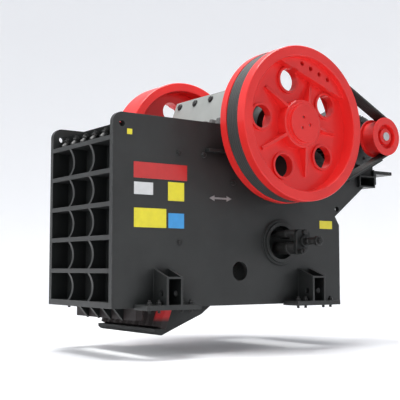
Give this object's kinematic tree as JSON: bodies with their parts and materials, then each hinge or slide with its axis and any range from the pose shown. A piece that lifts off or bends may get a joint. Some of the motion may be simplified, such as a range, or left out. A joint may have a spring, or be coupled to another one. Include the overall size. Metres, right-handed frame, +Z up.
{
  "type": "jaw crusher",
  "caption": "Heavy single-toggle jaw crusher with two flywheels, belt-driven motor on a rear bracket, toothed jaws and a ribbed front wall.",
  "frame": {"origin": "centre of the anchor stud rectangle, on the plane of the feet's undersides", "axes": "+X towards the motor, away from the ribbed front wall; +Y away from the belt side; +Z up"},
  "size_m": [3.7, 2.483, 2.814],
  "materials": {
    "frame_paint": "satin",
    "red_paint": "gloss",
    "guard_grey": "satin",
    "manganese_steel": "matte",
    "machined_steel": "brushed",
    "dark_hardware": "satin",
    "belt_rubber": "matte",
    "plate_red": "gloss",
    "plate_white": "gloss",
    "plate_blue": "gloss",
    "plate_yellow": "gloss"
  },
  "bodies": {
    "frame": {"near_side_plate": "frame_paint", "far_side_plate": "frame_paint", "front_wall": "frame_paint", "front_ribs": "frame_paint", "front_arches": "frame_paint", "lower_fins": "frame_paint", "toggle_beam": "frame_paint", "rear_wall": "frame_paint", "rear_ribs": "frame_paint", "near_feet": "frame_paint", "far_feet": "frame_paint", "near_bearing_housing": "frame_paint", "far_bearing_housing": "frame_paint", "bearing_ledges": "frame_paint", "motor_base": "frame_paint", "motor": "frame_paint", "motor_crossbeam": "frame_paint", "tension_bracket": "frame_paint", "adjuster_rings": "frame_paint", "jaw_wedge_bar": "frame_paint", "side_bolts": "frame_paint", "fixed_jaw_die": "manganese_steel", "cheek_plates": "manganese_steel", "jaw_wedge_studs": "dark_hardware", "foot_studs": "dark_hardware", "near_adjuster": "dark_hardware", "far_adjuster": "dark_hardware", "drive_belt": "belt_rubber", "red_marker": "plate_red", "white_marker": "plate_white", "arrow_marker": "plate_white", "blue_marker": "plate_blue", "yellow_markers": "plate_yellow"},
    "rotor": {"eccentric_shaft": "machined_steel", "drive_flywheel": "red_paint", "plain_flywheel": "red_paint", "hub_discs": "red_paint"},
    "swing_jaw": {"pitman": "red_paint", "jaw_toe": "frame_paint", "swing_jaw_die": "manganese_steel", "guard_plate": "guard_grey", "guard_bolts": "dark_hardware"},
    "toggle": {"toggle_plate": "dark_hardware"},
    "motor_rotor": {"motor_pulley": "red_paint", "motor_shaft": "machined_steel"}
  },
  "joints": [
    {"name": "rotor_spin", "type": "hinge", "parent": "frame", "child": "rotor", "pos_m": [0.379, 0, 1.795], "axis": [0, 1, 0], "continuous": true},
    {"name": "jaw_swing", "type": "hinge", "parent": "frame", "child": "swing_jaw", "pos_m": [0.379, 0, 1.795], "axis": [0, 1, 0], "range_deg": [-0.4, 0.4]},
    {"name": "toggle_swing", "type": "hinge", "parent": "frame", "child": "toggle", "pos_m": [0.395, 0, 0.55], "axis": [0, 1, 0], "range_deg": [-0.75, 0.75]},
    {"name": "motor_spin", "type": "hinge", "parent": "frame", "child": "motor_rotor", "pos_m": [1.64, 0, 1.792], "axis": [0, 1, 0], "continuous": true}
  ],
  "couplings": [
    {"joint": "toggle_swing", "follows": "jaw_swing", "ratio": 1.83},
    {"joint": "motor_spin", "follows": "rotor_spin", "ratio": 3.7463}
  ]
}
